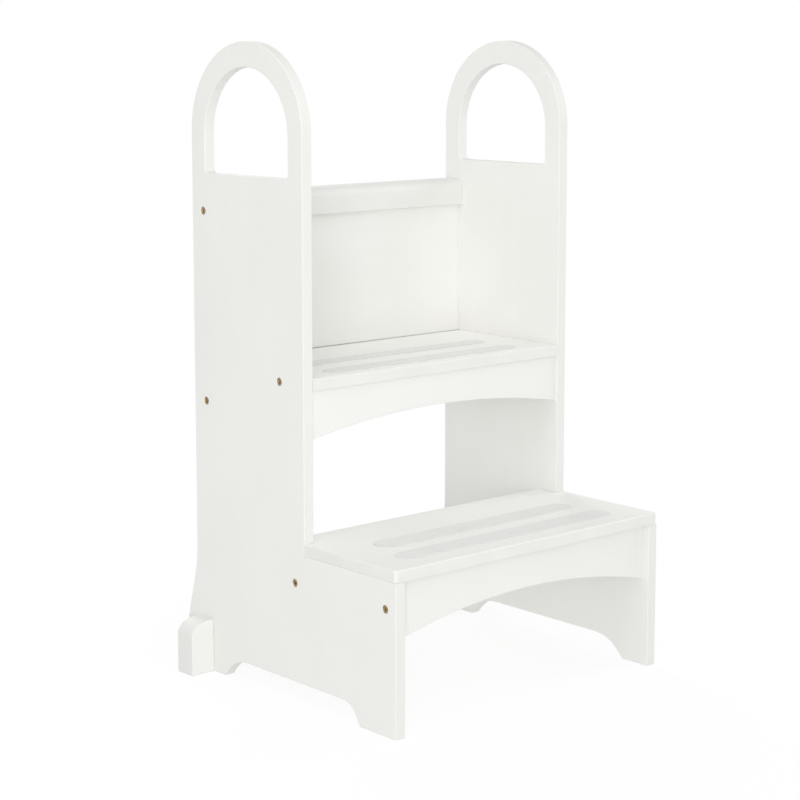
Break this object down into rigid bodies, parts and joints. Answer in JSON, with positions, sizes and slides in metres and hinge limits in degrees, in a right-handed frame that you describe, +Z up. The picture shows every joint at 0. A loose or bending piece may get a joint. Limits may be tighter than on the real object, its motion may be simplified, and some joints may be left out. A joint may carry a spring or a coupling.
{
  "type": "step stool",
  "caption": "White painted wooden step stool with tall looped side handholds, a low back rest, grip strips on the treads and outrigger feet at the rear.",
  "frame": {"origin": "on the floor, under the middle of the stool's bounding box", "axes": "+X right as seen from the front, -Y the front where one steps on, +Z up"},
  "size_m": [0.523, 0.428, 0.813],
  "materials": {
    "painted_wood": "satin off-white paint",
    "grip_strip": "matt light grey anti-slip strip",
    "yellow_zinc": "yellow zinc plate",
    "steel": "bright zinc plate",
    "beech": "bare"
  },
  "bodies": {
    "root": {"side_panel_left": "painted_wood", "side_panel_right": "painted_wood", "anti_tip_foot_left": "painted_wood", "anti_tip_foot_right": "painted_wood", "lower_step_board": "painted_wood", "upper_step_board": "painted_wood", "lower_apron": "painted_wood", "lower_rear_rail": "painted_wood", "upper_apron": "painted_wood", "upper_rear_rail": "painted_wood", "back_panel": "painted_wood", "top_rail": "painted_wood", "lower_grip_strip_front": "grip_strip", "lower_grip_strip_rear": "grip_strip", "upper_grip_strip_front": "grip_strip", "upper_grip_strip_rear": "grip_strip", "bolt_top_rail_left": "yellow_zinc", "bolt_upper_rear_rail_left": "yellow_zinc", "bolt_upper_step_left": "yellow_zinc", "bolt_lower_rear_rail_left": "yellow_zinc", "bolt_lower_apron_left": "yellow_zinc", "bolt_top_rail_right": "yellow_zinc", "bolt_upper_rear_rail_right": "yellow_zinc", "bolt_upper_step_right": "yellow_zinc", "bolt_lower_rear_rail_right": "yellow_zinc", "bolt_lower_apron_right": "yellow_zinc", "barrel_nut_top_rail_left": "steel", "barrel_nut_upper_rear_rail_left": "steel", "barrel_nut_upper_step_left": "steel", "barrel_nut_lower_rear_rail_left": "steel", "barrel_nut_lower_apron_left": "steel", "barrel_nut_top_rail_right": "steel", "barrel_nut_upper_rear_rail_right": "steel", "barrel_nut_upper_step_right": "steel", "barrel_nut_lower_rear_rail_right": "steel", "barrel_nut_lower_apron_right": "steel", "foot_screw_lower_left": "steel", "foot_screw_upper_left": "steel", "foot_screw_lower_right": "steel", "foot_screw_upper_right": "steel", "dowel_top_rail_left": "beech", "dowel_upper_rear_rail_left": "beech", "dowel_upper_step_left": "beech", "dowel_lower_rear_rail_left": "beech", "dowel_lower_apron_left": "beech", "dowel_upper_apron_left": "beech", "dowel_top_rail_right": "beech", "dowel_upper_rear_rail_right": "beech", "dowel_upper_step_right": "beech", "dowel_lower_rear_rail_right": "beech", "dowel_lower_apron_right": "beech", "dowel_upper_apron_right": "beech", "dowel_lower_step_front_left": "beech", "dowel_lower_step_rear_left": "beech", "dowel_lower_step_front_right": "beech", "dowel_lower_step_rear_right": "beech"}
  },
  "joints": []
}
